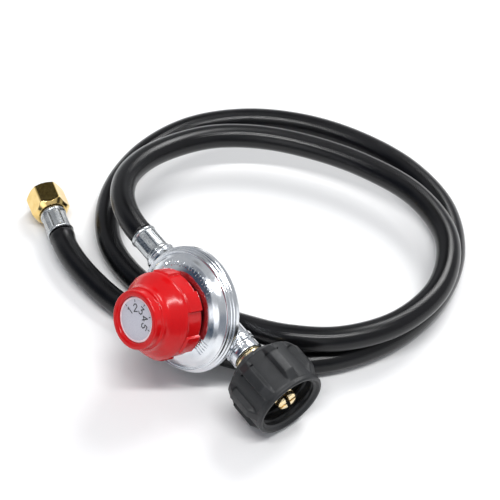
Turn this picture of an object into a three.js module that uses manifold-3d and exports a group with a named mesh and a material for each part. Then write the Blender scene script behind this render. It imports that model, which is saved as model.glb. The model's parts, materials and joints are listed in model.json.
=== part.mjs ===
// Adjustable high-pressure propane regulator with its hose, laid down on a table.
// Millimetres, +Z up. The table is at z = 0, the inlet coupling points along +X and
// the adjusting knob faces -Y, tipped up. The origin is on the table, under the middle
// of the regulator's own box (everything but the hose and what hangs on it).
//
// The regulator is drawn in a frame of its own, with the crossing of its two axes as
// the origin: local X runs out of the inlet, local Z runs out through the knob.
// The flare fitting on the hose's far end has another, with local X out of the nut.

import * as THREE from 'three';
import { mergeVertices } from 'three/addons/utils/BufferGeometryUtils.js';
import Module from 'manifold-3d';

const wasm = await Module();
wasm.setup();

// ---- Driving dimensions -------------------------------------------------------------

const GAP = 0.3;                       // between pieces that touch on the real object
const DEG = Math.PI / 180;

// Where the regulator lies.
const BODY_CENTRE = [-9.9, 15.9, 31.05];
const KNOB_TIP = 61.5;                 // knob axis, degrees from straight up towards -Y
const INLET_DIP = 7;                   // inlet axis, degrees below level

// Along the knob axis (local Z).
const BODY_FLOOR = -12;
const FLANGE_TOP = 12.2;
const FLANGE_RADIUS = 31.5;
const DIAPHRAGM_BASE = FLANGE_TOP + GAP;
const DIAPHRAGM_TOP = DIAPHRAGM_BASE + 1;
const BONNET_RADIUS = 33.5;
const NECK_TOP = 42;
const NECK_RADIUS = 14.2;
const SCREW_RADIUS = 9;
const SKIRT_BOTTOM = 26.5;
const SKIRT_RADIUS = 22.4;
const PAD_RADIUS = 23.8;
const KNOB_FRONT = 53.1;
const LABEL_RADIUS = 11.3;
const GRIP_PADS = 6;

// Along the inlet axis (local X).
const BOSS_RADIUS = 8.6;
const INLET_BOSS_END = 38.8;
const OUTLET_BOSS_END = -40.5;
const PORT_RADIUS = 4.9;
const NUT_BACK = 42.3;
const NUT_MOUTH = 75;
const NUT_RADIUS = 22.8;
const NUT_BORE = 15.9;
const NUT_LOBES = 8;
const PROBE_TIP = 72.4;
const FERRULE_LENGTH = 15.7;
const FERRULE_RADIUS = 7;

// The hose and its flare fitting.
const HOSE_RADIUS = 6.8;
const HOSE_NECKED = 5.9;               // where a ferrule squeezes it
const HOSE_BORE = 3.6;
const HOSE_SIDES = 10;
const HOSE_STEPS = 76;
const HEX_FLATS = 19;                  // across flats
const NUT_LENGTH = 16.5;
const FLARE_BORE = 7.4;
const FLARE_END = [-116, -5.7, 9.6];   // where the hose enters the flare fitting
const FLARE_HEADING = 163;             // degrees round from +X

// The hose's centreline from the outlet ferrule to the flare fitting: two loose turns,
// the first one sprung up off the table and lying on the second at the far right.
const HOSE_ROUTE = [
  [-66.3, 15.9, 38], [-72.3, 15.9, 38.7], [-84.5, 18.3, 39.1], [-97.5, 24.6, 37.8],
  [-109.7, 36.4, 35], [-117.8, 54.5, 31], [-119.3, 76.5, 27.2], [-114, 99, 24.6],
  [-100, 120, 22.8], [-79, 138, 21.6], [-47, 155, 21], [-10, 163.5, 21], [25, 155.5, 21],
  [48.5, 129.5, 21], [54.5, 96, 21.2], [45, 64.5, 21.7], [25.5, 43.5, 20],
  [-1, 31.2, 13.3], [-28, 20, 8.1], [-61.5, 10, 7], [-96, 13.5, 7], [-124.5, 34, 7],
  [-141, 66, 7], [-142.5, 100.5, 7], [-128.5, 132, 7], [-103.5, 157, 7], [-71.5, 174, 7],
  [-37, 182, 7], [-2.5, 178, 7], [27.5, 158.5, 7], [46, 128, 7], [51.5, 93, 7],
  [43, 57.5, 7], [22, 29, 7], [-2, 11.5, 7], [-29, 0, 7], [-58, -8.8, 7.5],
  [-85.5, -11.2, 8.9], [-104, -9.4, 9.6], [-115.7, -5.8, 9.6],
];

// ---- Materials ----------------------------------------------------------------------

const finish = (color, roughness, metalness) =>
  new THREE.MeshStandardMaterial({ color, roughness, metalness });

const ZINC = finish(0xc3c9cd, 0.25, 1);
const STEEL = finish(0xa9adb0, 0.35, 1);
const BRASS = finish(0xcda852, 0.28, 1);
const RED_PLASTIC = finish(0xc9151b, 0.35, 0);
const BLACK_PLASTIC = finish(0x2b2d2f, 0.6, 0);
const AMBER_PLASTIC = finish(0xb5702a, 0.5, 0);
const LABEL_FILM = finish(0xc4c7ce, 0.4, 0);
const BLACK_RUBBER = finish(0x141414, 0.45, 0);
const SINTER = finish(0x8e7440, 0.8, 1);

// ---- Shape helpers ------------------------------------------------------------------

// A turned piece round local Z; each point is [radius, z], bottom to top on the outside.
function turnedZ(profile, segments = 28) {
  const points = profile.map(([radius, z]) => new THREE.Vector2(radius, z));
  return new THREE.LatheGeometry(points, segments).rotateX(Math.PI / 2);
}

// A turned piece round local X; each point is [x, radius], -X to +X on the outside.
function turnedX(profile, segments = 20) {
  const points = profile.map(([x, radius]) => new THREE.Vector2(radius, x));
  return new THREE.LatheGeometry(points, segments).rotateZ(-Math.PI / 2);
}

// A plain round bar along local X, used for bosses and for the holes cut through them.
function barX(from, to, radius, segments = 20) {
  return turnedX([[from, 0], [from, radius], [to, radius], [to, 0]], segments);
}

function block(x, y, z, width, depth, height) {
  return new THREE.BoxGeometry(width, depth, height).translate(x, y, z);
}

function regularPolygon(radius, sides, startAngle = 0) {
  const corners = [];
  for (let i = 0; i < sides; i += 1) {
    const angle = startAngle + (i / sides) * 2 * Math.PI;
    corners.push(new THREE.Vector2(radius * Math.cos(angle), radius * Math.sin(angle)));
  }
  return new THREE.Shape(corners);
}

// A flat outline with a thickness, centred on the plane it is drawn in.
function plate(outline, thickness) {
  const shape = new THREE.Shape(outline.map(([a, b]) => new THREE.Vector2(a, b)));
  const geometry = new THREE.ExtrudeGeometry(shape, { depth: thickness, bevelEnabled: false });
  return geometry.translate(0, 0, -thickness / 2);
}

function alongCurve(curve, radius, sides, steps) {
  return new THREE.ExtrudeGeometry(regularPolygon(radius, sides), {
    extrudePath: curve,
    steps,
    bevelEnabled: false,
  });
}

// Coil spring round local Z, as a curve.
class Coil extends THREE.Curve {
  constructor(radius, bottom, top, turns) {
    super();
    Object.assign(this, { radius, bottom, top, turns });
  }

  getPoint(t, target = new THREE.Vector3()) {
    const angle = t * this.turns * 2 * Math.PI;
    const z = this.bottom + t * (this.top - this.bottom);
    return target.set(this.radius * Math.cos(angle), this.radius * Math.sin(angle), z);
  }
}

// ---- Cutting and joining ------------------------------------------------------------

function toSolid(geometry) {
  const bare = geometry.clone();
  bare.deleteAttribute('normal');
  bare.deleteAttribute('uv');
  const merged = mergeVertices(bare, 1e-4);
  const index = merged.index.array;
  const triangles = [];
  for (let i = 0; i < index.length; i += 3) {
    const [a, b, c] = [index[i], index[i + 1], index[i + 2]];
    if (a !== b && b !== c && c !== a) triangles.push(a, b, c);
  }
  return new wasm.Manifold(new wasm.Mesh({
    numProp: 3,
    vertProperties: new Float32Array(merged.attributes.position.array),
    triVerts: new Uint32Array(triangles),
  }));
}

function fromSolid(solid) {
  const mesh = solid.getMesh();
  const geometry = new THREE.BufferGeometry();
  geometry.setAttribute('position', new THREE.BufferAttribute(mesh.vertProperties, 3));
  geometry.setIndex(Array.from(mesh.triVerts));
  geometry.computeVertexNormals();
  return geometry;
}

function join(first, ...others) {
  return fromSolid(others.reduce((solid, other) => solid.add(toSolid(other)), toSolid(first)));
}

function cut(first, ...others) {
  const whole = toSolid(first);
  return fromSolid(others.reduce((solid, other) => solid.subtract(toSolid(other)), whole));
}

function overlapOf(first, second) {
  return fromSolid(toSolid(first).intersect(toSolid(second)));
}

function piece(name, geometry, material) {
  const mesh = new THREE.Mesh(geometry, material);
  mesh.name = name;
  return mesh;
}

// ---- Regulator casing ---------------------------------------------------------------

// Levers and valve inside the casing share these places.
const PIVOT = { x: 8, z: -4 };
const PIN_RADIUS = 0.8;
const PIN_HOLE = PIN_RADIUS + GAP;
const LEVER_WIDTH = 3.2;
const VALVE_GUIDE = { x: 10.6, width: 1 };

function lowerBody() {
  const bowl = turnedZ([
    [0, BODY_FLOOR], [10.5, BODY_FLOOR], [12.6, -10.4], [17.5, 5], [19.4, 8.4],
    [30.3, 9.2], [30.3, 10.5], [FLANGE_RADIUS, 10.5], [FLANGE_RADIUS, FLANGE_TOP],
    [27, FLANGE_TOP], [26, 11.4], [17.2, 10.6], [15.2, 5], [11, -8.6], [0, -8.6],
  ]);
  const inletBoss = turnedX([
    [9, 0], [9, 8.8], [24, 9.4], [30, 9.4], [30.6, BOSS_RADIUS],
    [INLET_BOSS_END - 0.6, BOSS_RADIUS], [INLET_BOSS_END, BOSS_RADIUS - 0.6],
    [INLET_BOSS_END, 0],
  ]);
  const outletBoss = turnedX([
    [OUTLET_BOSS_END, 0], [OUTLET_BOSS_END, BOSS_RADIUS - 0.6],
    [OUTLET_BOSS_END + 0.6, BOSS_RADIUS], [-9, 8.8], [-9, 0],
  ]);
  const chamber = turnedZ([
    [0, -8.6], [11, -8.6], [15.2, 5], [17.2, 10.6], [17.2, FLANGE_TOP + 1],
    [0, FLANGE_TOP + 1],
  ]);
  const inletPort = barX(11, INLET_BOSS_END + 1, PORT_RADIUS);
  const outletPort = barX(OUTLET_BOSS_END - 1, -11, PORT_RADIUS);
  const lugs = [-1, 1].map((side) => (
    block(PIVOT.x, side * (LEVER_WIDTH / 2 + 1.3), -5.6, 3.6, 2, 6.4)));
  const guide = block(VALVE_GUIDE.x, 0, -3.4, VALVE_GUIDE.width, 6, 10.8);
  const pinHole = new THREE.CylinderGeometry(PIN_HOLE, PIN_HOLE, 12, 12)
    .translate(PIVOT.x, 0, PIVOT.z);
  const guideHole = barX(9, 13, 1.8, 12);
  const hollowed = cut(join(bowl, inletBoss, outletBoss), chamber, inletPort, outletPort);
  return cut(join(hollowed, ...lugs, guide), pinHole, guideHole);
}

// Rolled over the body's flange at the bottom, stepped rings, dome and screwed neck.
function bonnet() {
  const wall = FLANGE_RADIUS + GAP;
  const clamp = DIAPHRAGM_TOP + GAP;
  const shell = turnedZ([
    [30.6, 9.2], [32.9, 9.2], [BONNET_RADIUS, 9.8], [BONNET_RADIUS, 12.4],
    [32.8, 12.9], [32.8, 14.1], [32.1, 14.5], [32.1, 15.9], [31.3, 16.6],
    [30.7, 16], [29.6, 17.2], [28.2, 19], [26, 20.7], [23.2, 22.1],
    [19.4, 23.2], [15.6, 23.8], [NECK_RADIUS, 24.6], [NECK_RADIUS, NECK_TOP],
    [SCREW_RADIUS + GAP, NECK_TOP], [SCREW_RADIUS + GAP, 31.4], [11.6, 31.4],
    [11.6, 22.2], [15, 21.8], [19, 21.2], [22.6, 20], [25.2, 18.6],
    [27.4, 16.8], [28.4, 15.2], [28.4, clamp], [wall, clamp], [wall, 10.2],
    [30.6, 10.2], [30.6, 9.2],
  ]);
  const vent = new THREE.CylinderGeometry(1.6, 1.6, 12, 12).rotateX(Math.PI / 2)
    .translate(-15, -15, 22);
  return cut(shell, vent);
}

function ventScreen() {
  return new THREE.CylinderGeometry(2.6, 2.6, 0.4, 12).rotateX(Math.PI / 2)
    .rotateY(-0.16).rotateX(0.16).translate(-15, -15, 19.7);
}

// ---- Adjusting knob, screw and spring -----------------------------------------------

function adjustKnob() {
  const shell = turnedZ([
    [0, 48.2], [6.3, 48.2], [6.3, 43.9], [8.5, 43.9], [8.5, 47.7], [14.4, 47.7],
    [15, 44.1], [19.8, 37.5], [20, SKIRT_BOTTOM], [SKIRT_RADIUS, SKIRT_BOTTOM],
    [SKIRT_RADIUS, 36.1], [23, 36.5], [22.7, 37.7], [21.3, 40.1], [19.4, 42.3],
    [17.4, 44.3], [16.7, 45.9], [16.6, 48.1], [15.5, 48.5], [15.5, KNOB_FRONT - 0.6],
    [14.9, KNOB_FRONT], [13, KNOB_FRONT], [12.1, KNOB_FRONT - 0.6], [12, 50.5],
    [0, 50.5],
  ]);
  const pads = [];
  for (let i = 0; i < GRIP_PADS; i += 1) {
    const pad = block(PAD_RADIUS - 1.5, 0, SKIRT_BOTTOM + 4.9, 3, 11, 9.8);
    pads.push(pad.rotateZ((i / GRIP_PADS) * 2 * Math.PI));
  }
  const rounding = turnedZ([
    [0, 20], [PAD_RADIUS, 20], [PAD_RADIUS, 35.5], [22.9, 36.7], [22.9, 60], [0, 60],
  ]);
  return overlapOf(join(shell, ...pads), rounding);
}

function knobLabel() {
  return turnedZ([[0, 50.8], [LABEL_RADIUS, 50.8], [LABEL_RADIUS, 51.3], [0, 51.3]]);
}

function adjustScrew() {
  return turnedZ([
    [0, 31.4], [SCREW_RADIUS - 1, 31.4], [SCREW_RADIUS, 32.4], [SCREW_RADIUS, 42.5],
    [6, 43.5], [6, 47.9], [0, 47.9],
  ], 24);
}

function springButton() {
  return turnedZ([
    [0, 25], [4, 25], [4.6, 25.6], [4.6, 28.2], [8.8, 28.2], [8.8, 30], [4, 31.1], [0, 31.1],
  ], 24);
}

function mainSpring() {
  return alongCurve(new Coil(7, 16.2, 26.9, 4.5), 0.9, 6, 40);
}

// ---- Diaphragm, lever and valve -----------------------------------------------------

function diaphragm() {
  const base = DIAPHRAGM_BASE;
  const top = DIAPHRAGM_TOP;
  const rim = FLANGE_RADIUS - 0.2;
  const fold = 1.5;
  return turnedZ([
    [2.2, base], [20, base], [21.6, base + fold], [24.2, base + fold], [25.8, base],
    [rim, base], [rim, top], [26.2, top], [24.6, top + fold], [21.2, top + fold],
    [19.6, top], [2.2, top], [2.2, base],
  ]);
}

function diaphragmPlate() {
  const base = DIAPHRAGM_TOP + GAP;
  return turnedZ([
    [2.2, base], [17, base], [18, base + 1.6], [17.2, base + 1.9], [16.4, base + 1.1],
    [2.2, base + 1.1], [2.2, base],
  ], 24);
}

function diaphragmStem() {
  const head = DIAPHRAGM_TOP + 2 * GAP + 1.1;
  return turnedZ([
    [0, -6], [2.3, -6], [2.3, -5.1], [1, -5.1], [1, -2.9], [1.9, -2.9], [1.9, head],
    [3.4, head], [3.4, head + 1], [2.6, head + 1.6], [0, head + 1.6],
  ], 16);
}

// A bell crank: the long forked arm follows the stem, the short one pushes the valve.
function lever() {
  const arms = plate([
    [-1.9, -4.7], [9, -4.7], [9.2, -4.2], [8.9, 1.2], [7.2, 1.2], [7, -3.3], [-1.9, -3.3],
  ], LEVER_WIDTH).rotateX(Math.PI / 2);
  const fork = block(-0.8, 0, PIVOT.z, 4.2, 2 * (1 + GAP), 3);
  const hole = new THREE.CylinderGeometry(PIN_HOLE, PIN_HOLE, 6, 12)
    .translate(PIVOT.x, 0, PIVOT.z);
  const hub = new THREE.CylinderGeometry(1.9, 1.9, LEVER_WIDTH, 16)
    .translate(PIVOT.x, 0, PIVOT.z);
  return cut(join(arms, hub), fork, hole);
}

function leverPin() {
  return new THREE.CylinderGeometry(PIN_RADIUS, PIN_RADIUS, 7.4, 12)
    .translate(PIVOT.x, 0, PIVOT.z);
}

function valveStem() {
  return turnedX([
    [9.4, 0], [9.4, 1.5], [12, 1.5], [12, 2.8], [12.9, 2.8], [12.9, 0],
  ], 16);
}

function seatDisc() {
  return barX(13.2, 14.9, 2.6, 16);
}

function inletOrifice() {
  return turnedX([
    [15.2, 1.1], [15.2, 1.7], [16.4, 2.4], [17.4, 4.5], [22, 4.5], [22, 1.1], [15.2, 1.1],
  ], 16);
}

// ---- Inlet nipple and its coupling nut ----------------------------------------------

function inletFilter() {
  return barX(23, 24.6, 4.4, 16);
}

// Screwed into the inlet boss; its outer collar shows behind the nut, its inner one
// holds the nut on.
function inletNipple() {
  return turnedX([
    [25, 2.8], [25, 4.6], [INLET_BOSS_END + GAP, 4.6], [INLET_BOSS_END + GAP, 7.5],
    [39.6, 8], [41.5, 8], [41.9, 7.6], [41.9, 6.6], [49.6, 6.6], [49.6, 10.4],
    [51.4, 10.4], [52, 9.6], [53, 5.6], [60.5, 5.2], [60.5, 3.4], [53, 3.4],
    [52, 2.8], [25, 2.8],
  ]);
}

function flowBall() {
  return new THREE.SphereGeometry(2.9, 12, 8).translate(57.3, 0, 0);
}

function flowSpring() {
  return alongCurve(new Coil(2.2, 47.5, 53.5, 4), 0.3, 5, 28).rotateY(Math.PI / 2);
}

// Brass probe with four fingers that opens the valve in the cylinder.
function probeTip() {
  const body = turnedX([
    [60.8, 1.5], [60.8, 5.9], [64.4, 5.9], [64.9, 5], [66, 5], [66.5, 5.9], [68.6, 5.9],
    [69.1, 5.1], [69.9, 5.1], [70.3, 5.8], [71.7, 5.5], [PROBE_TIP, 4.8], [PROBE_TIP, 1.5],
    [60.8, 1.5],
  ]);
  const slots = [0, 1].map((turn) => (
    block(70, 0, 0, 9, 1.9, 12).rotateX(turn * Math.PI / 2 + Math.PI / 4)));
  return cut(body, ...slots);
}

function thermalBushing() {
  return turnedX([[47.4, 7], [47.4, 10.8], [49.3, 10.8], [49.3, 7], [47.4, 7]]);
}

function couplingNut() {
  const shell = turnedX([
    [NUT_BACK, 7], [NUT_BACK, 11.6], [43.4, 13.4], [48.2, 20.2], [NUT_MOUTH - 0.5, 20],
    [NUT_MOUTH, 19.5], [NUT_MOUTH, 17.4], [NUT_MOUTH - 1.6, NUT_BORE], [52.6, NUT_BORE],
    [52.6, 11.2], [47.1, 11.2], [47.1, 7], [NUT_BACK, 7],
  ], 32);
  const lobe = plate([
    [43.2, 12], [48.6, 20.6], [53.4, NUT_RADIUS], [67, NUT_RADIUS], [71.8, 20.2],
    [71.8, 17], [47, 17],
  ], 6);
  const lobes = [];
  for (let i = 0; i < NUT_LOBES; i += 1) {
    lobes.push(lobe.clone().rotateX(((i + 0.5) / NUT_LOBES) * 2 * Math.PI));
  }
  const bore = turnedX([
    [NUT_BACK - 1, 0], [NUT_BACK - 1, 7], [47.1, 7], [47.1, 11.2], [52.6, 11.2],
    [52.6, NUT_BORE], [70, NUT_BORE], [70, 0],
  ], 32);
  return cut(join(shell, ...lobes), bore);
}

// ---- Hose and its end fittings ------------------------------------------------------

// Crimped sleeve along local X with a lip at each end; the hose enters at x = 0.
function ferrule() {
  const barrel = turnedX([
    [0.8, HOSE_NECKED + GAP], [0.8, FERRULE_RADIUS], [FERRULE_LENGTH - 0.8, FERRULE_RADIUS],
    [FERRULE_LENGTH - 0.8, HOSE_NECKED + GAP], [0.8, HOSE_NECKED + GAP],
  ], 12);
  const hoseLip = turnedX([
    [0, HOSE_NECKED + GAP], [0, 7.3], [0.7, 7.6], [1.5, 7.3], [2.2, 6.7],
    [2.2, HOSE_NECKED + GAP], [0, HOSE_NECKED + GAP],
  ]);
  const farLip = turnedX([
    [FERRULE_LENGTH - 2, HOSE_NECKED + GAP], [FERRULE_LENGTH - 2, 6.7],
    [FERRULE_LENGTH - 1.4, 7.4], [FERRULE_LENGTH, 7.4], [FERRULE_LENGTH, 3.6],
    [FERRULE_LENGTH - 1.2, 3.6], [FERRULE_LENGTH - 1.2, HOSE_NECKED + GAP],
    [FERRULE_LENGTH - 2, HOSE_NECKED + GAP],
  ]);
  return join(barrel, hoseLip, farLip);
}

function outletBarb() {
  const start = OUTLET_BOSS_END - FERRULE_LENGTH + 0.5;
  return turnedX([
    [start, 2.1], [start, 2.9], [start + 1.2, 3.3], [OUTLET_BOSS_END - GAP, 3.3],
    [OUTLET_BOSS_END + GAP, 4.6], [-24, 4.6], [-24, 2.1], [start, 2.1],
  ], 16);
}

// Stem of the flare fitting: barb in the hose, head with a 45 degree seat in the nut.
function flareStem() {
  const head = FERRULE_LENGTH + 5.4;
  return turnedX([
    [0.6, 2.1], [0.6, 2.9], [1.8, 3.3], [FERRULE_LENGTH + GAP, 3.3],
    [FERRULE_LENGTH + GAP, 4.4], [head, 4.4], [head, 6.9], [head + 2.6, 6.9],
    [head + 4.4, 5.2], [head + 1.3, 2.1], [0.6, 2.1],
  ], 20);
}

function flareNut() {
  const start = FERRULE_LENGTH + 0.6;
  const end = start + NUT_LENGTH;
  const corner = HEX_FLATS / Math.sqrt(3);
  const hexagon = new THREE.ExtrudeGeometry(regularPolygon(corner, 6, Math.PI / 2), {
    depth: NUT_LENGTH,
    bevelEnabled: false,
  }).rotateY(Math.PI / 2).translate(start, 0, 0);
  const chamfer = turnedX([
    [start, 0], [start, 8], [start + 3, corner + 0.1], [end - 1.2, corner + 0.1],
    [end, HEX_FLATS / 2 - 0.3], [end, 0],
  ], 36);
  const bore = turnedX([
    [start - 1, 0], [start - 1, 4.8], [start + 4.4, 4.8], [start + 4.4, FLARE_BORE],
    [end - 0.6, FLARE_BORE], [end + 0.2, 8.2], [end + 0.2, 0],
  ], 36);
  return cut(overlapOf(hexagon, chamfer), bore);
}

// The squeezed end of the hose inside a ferrule, hollow for the barb.
function hoseEnd() {
  return turnedX([
    [-1, HOSE_BORE], [-1, HOSE_NECKED], [FERRULE_LENGTH - 2, HOSE_NECKED],
    [FERRULE_LENGTH - 2, HOSE_BORE], [-1, HOSE_BORE],
  ], HOSE_SIDES * 2);
}

// ---- Assembly -----------------------------------------------------------------------

const regulator = new THREE.Group();
regulator.position.set(...BODY_CENTRE);
regulator.rotation.set(KNOB_TIP * DEG, INLET_DIP * DEG, 0, 'YXZ');

const outletEnd = OUTLET_BOSS_END - GAP - FERRULE_LENGTH;
const outletFitting = new THREE.Group();
outletFitting.position.set(outletEnd, 0, 0);
regulator.add(outletFitting);

const flareFitting = new THREE.Group();
flareFitting.position.set(...FLARE_END);
flareFitting.rotation.set(0, 0, FLARE_HEADING * DEG);

function hose() {
  const points = HOSE_ROUTE.map((point) => new THREE.Vector3(...point));
  const curve = new THREE.CatmullRomCurve3(points, false, 'centripetal');
  const run = alongCurve(curve, HOSE_RADIUS, HOSE_SIDES, HOSE_STEPS);
  const ends = [outletFitting, flareFitting].map((fitting) => {
    fitting.updateWorldMatrix(true, false);
    return hoseEnd().applyMatrix4(fitting.matrixWorld);
  });
  return join(run, ...ends);
}

regulator.add(
  piece('lower_body', lowerBody(), ZINC),
  piece('bonnet', bonnet(), ZINC),
  piece('vent_screen', ventScreen(), STEEL),
  piece('adjust_knob', adjustKnob(), RED_PLASTIC),
  piece('knob_label', knobLabel(), LABEL_FILM),
  piece('adjust_screw', adjustScrew(), ZINC),
  piece('spring_button', springButton(), STEEL),
  piece('main_spring', mainSpring(), STEEL),
  piece('diaphragm', diaphragm(), BLACK_RUBBER),
  piece('diaphragm_plate', diaphragmPlate(), STEEL),
  piece('diaphragm_stem', diaphragmStem(), BRASS),
  piece('lever', lever(), STEEL),
  piece('lever_pin', leverPin(), STEEL),
  piece('valve_stem', valveStem(), BRASS),
  piece('seat_disc', seatDisc(), BLACK_RUBBER),
  piece('inlet_orifice', inletOrifice(), BRASS),
  piece('inlet_filter', inletFilter(), SINTER),
  piece('inlet_nipple', inletNipple(), BRASS),
  piece('flow_ball', flowBall(), STEEL),
  piece('flow_spring', flowSpring(), STEEL),
  piece('probe_tip', probeTip(), BRASS),
  piece('thermal_bushing', thermalBushing(), AMBER_PLASTIC),
  piece('coupling_nut', couplingNut(), BLACK_PLASTIC),
  piece('outlet_barb', outletBarb(), BRASS),
);
outletFitting.add(piece('outlet_ferrule', ferrule(), ZINC));
flareFitting.add(
  piece('flare_ferrule', ferrule(), ZINC),
  piece('flare_stem', flareStem(), BRASS),
  piece('flare_nut', flareNut(), BRASS),
);

const assembly = new THREE.Group();
assembly.add(regulator, flareFitting, piece('hose', hose(), BLACK_RUBBER));

export default assembly;
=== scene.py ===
"""A propane regulator with its hose, shaded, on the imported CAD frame.

Row frame, metres, +Z up. Shapes are written in millimetres along their own axis and
scaled when the mesh is made. Three axes are used: the adjusting knob's, the inlet's
(the outlet is on the same line, pointing the other way) and the flare fitting's.
"""

import json
import math

import bmesh
import bpy
from mathutils import Matrix, Vector


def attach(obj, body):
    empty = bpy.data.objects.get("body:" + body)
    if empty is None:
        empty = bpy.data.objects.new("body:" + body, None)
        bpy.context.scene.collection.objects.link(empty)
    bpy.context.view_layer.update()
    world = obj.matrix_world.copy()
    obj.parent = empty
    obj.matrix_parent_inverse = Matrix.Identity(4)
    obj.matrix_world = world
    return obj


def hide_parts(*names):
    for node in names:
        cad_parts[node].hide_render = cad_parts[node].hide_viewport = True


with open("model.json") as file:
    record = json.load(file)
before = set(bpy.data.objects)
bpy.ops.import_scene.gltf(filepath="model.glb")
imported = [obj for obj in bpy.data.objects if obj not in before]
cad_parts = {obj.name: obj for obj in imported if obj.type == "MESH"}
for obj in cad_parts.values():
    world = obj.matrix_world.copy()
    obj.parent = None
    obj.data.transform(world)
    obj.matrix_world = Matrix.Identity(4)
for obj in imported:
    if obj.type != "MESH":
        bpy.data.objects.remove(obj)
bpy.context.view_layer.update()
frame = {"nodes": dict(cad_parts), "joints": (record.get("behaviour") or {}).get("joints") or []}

MM = 0.001
TURN = 2 * math.pi

# ---- Camera -------------------------------------------------------------------------

CAMERA_AZIMUTH = math.radians(52.74)
CAMERA_ELEVATION = math.radians(48)
CAMERA_DISTANCE = 1.2
CAMERA_TARGET = Vector((-0.0496, 0.07615, 0))
LENS_LENGTH = 154.3
SENSOR_WIDTH = 36


def place_camera():
    level = math.cos(CAMERA_ELEVATION)
    away = Vector((
        math.sin(CAMERA_AZIMUTH) * level,
        -math.cos(CAMERA_AZIMUTH) * level,
        math.sin(CAMERA_ELEVATION),
    ))
    lens = bpy.data.cameras.new("camera")
    lens.lens = LENS_LENGTH
    lens.sensor_width = SENSOR_WIDTH
    camera = bpy.data.objects.new("camera", lens)
    camera.location = CAMERA_TARGET + away * CAMERA_DISTANCE
    camera.rotation_euler = (-away).to_track_quat("-Z", "Y").to_euler()
    bpy.context.scene.collection.objects.link(camera)
    bpy.context.scene.camera = camera


place_camera()

# ---- Axes, from the joints ----------------------------------------------------------

# Millimetres along each axis.
KNOB_JOINT = 40                        # from where the knob's and inlet's axes cross
OUTLET_HOSE_END = 56.5                 # from the crossing to where the hose goes in
FLARE_JOINT = 24                       # from where the hose enters the flare fitting


def joint_line(name):
    """A joint's point and direction."""
    for joint in frame["joints"]:
        if joint["name"] == name:
            return Vector(joint["pos_m"]), Vector(joint["axis"]).normalized()
    raise KeyError(name)


def axes(origin, across, along):
    """A matrix whose local Z is along and whose local X is across."""
    side = along.cross(across).normalized()
    matrix = Matrix((across, side, along)).transposed().to_4x4()
    matrix.translation = origin
    return matrix


knob_point, into_knob = joint_line("knob_turn")
inlet_point, inlet_way = joint_line("coupling_nut_spin")
flare_point, flare_way = joint_line("flare_nut_spin")
knob_way = -into_knob
body_centre = knob_point - knob_way * KNOB_JOINT * MM
body_side = knob_way.cross(inlet_way)

KNOB = axes(body_centre, inlet_way, knob_way)
INLET = axes(body_centre, body_side, inlet_way)
OUTLET = axes(body_centre - inlet_way * OUTLET_HOSE_END * MM, body_side, inlet_way)
FLARE = axes(
    flare_point - flare_way * FLARE_JOINT * MM,
    Vector((0, 0, 1)).cross(flare_way),
    flare_way,
)

# ---- Hose route ---------------------------------------------------------------------

HOSE_RADIUS = 6.8
HOSE_IN_FERRULE = 5.9
FERRULE_LENGTH = 15.7

# The centreline from the outlet ferrule to the flare fitting, in metres: two loose
# turns, the first sprung up off the table and lying on the second at the far right.
HOSE_ROUTE = [
    (-0.0663, 0.0159, 0.038), (-0.0723, 0.0159, 0.0387), (-0.0845, 0.0183, 0.0391),
    (-0.0975, 0.0246, 0.0378), (-0.1097, 0.0364, 0.035), (-0.1178, 0.0545, 0.031),
    (-0.1193, 0.0765, 0.0272), (-0.114, 0.099, 0.0246), (-0.1, 0.12, 0.0228),
    (-0.079, 0.138, 0.0216), (-0.047, 0.155, 0.021), (-0.01, 0.1635, 0.021),
    (0.025, 0.1555, 0.021), (0.0485, 0.1295, 0.021), (0.0545, 0.096, 0.0212),
    (0.045, 0.0645, 0.0217), (0.0255, 0.0435, 0.02), (-0.001, 0.0312, 0.0133),
    (-0.028, 0.02, 0.0081), (-0.0615, 0.01, 0.007), (-0.096, 0.0135, 0.007),
    (-0.1245, 0.034, 0.007), (-0.141, 0.066, 0.007), (-0.1425, 0.1005, 0.007),
    (-0.1285, 0.132, 0.007), (-0.1035, 0.157, 0.007), (-0.0715, 0.174, 0.007),
    (-0.037, 0.182, 0.007), (-0.0025, 0.178, 0.007), (0.0275, 0.1585, 0.007),
    (0.046, 0.128, 0.007), (0.0515, 0.093, 0.007), (0.043, 0.0575, 0.007),
    (0.022, 0.029, 0.007), (-0.002, 0.0115, 0.007), (-0.029, 0, 0.007),
    (-0.058, -0.0088, 0.0075), (-0.0855, -0.0112, 0.0089), (-0.104, -0.0094, 0.0096),
    (-0.1157, -0.0058, 0.0096),
]


def smooth_line(points, per_span=16):
    """A centripetal Catmull-Rom curve through the points."""
    first = points[0] * 2 - points[1]
    last = points[-1] * 2 - points[-2]
    padded = [first, *points, last]
    line = []
    for a, b, c, d in zip(padded, padded[1:], padded[2:], padded[3:]):
        t1 = math.sqrt((b - a).length)
        t2 = t1 + math.sqrt((c - b).length)
        t3 = t2 + math.sqrt((d - c).length)
        for step in range(per_span):
            t = t1 + (t2 - t1) * step / per_span
            ab = a.lerp(b, t / t1)
            bc = b.lerp(c, (t - t1) / (t2 - t1))
            cd = c.lerp(d, (t - t2) / (t3 - t2))
            abc = ab.lerp(bc, t / t2)
            bcd = bc.lerp(cd, (t - t1) / (t3 - t1))
            line.append(abc.lerp(bcd, (t - t1) / (t2 - t1)))
    line.append(points[-1])
    return line


def evenly_spaced(line, spacing):
    """Points along a line at nearly equal distances, its ends among them."""
    lengths = [(b - a).length for a, b in zip(line, line[1:])]
    total = sum(lengths)
    count = round(total / spacing)
    points = [line[0]]
    walked = 0
    for a, b, length in zip(line, line[1:], lengths):
        while len(points) < count and walked + length >= len(points) * total / count:
            points.append(a.lerp(b, (len(points) * total / count - walked) / length))
        walked += length
    points.append(line[-1])
    return points, total


# ---- Mesh helpers -------------------------------------------------------------------


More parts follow.
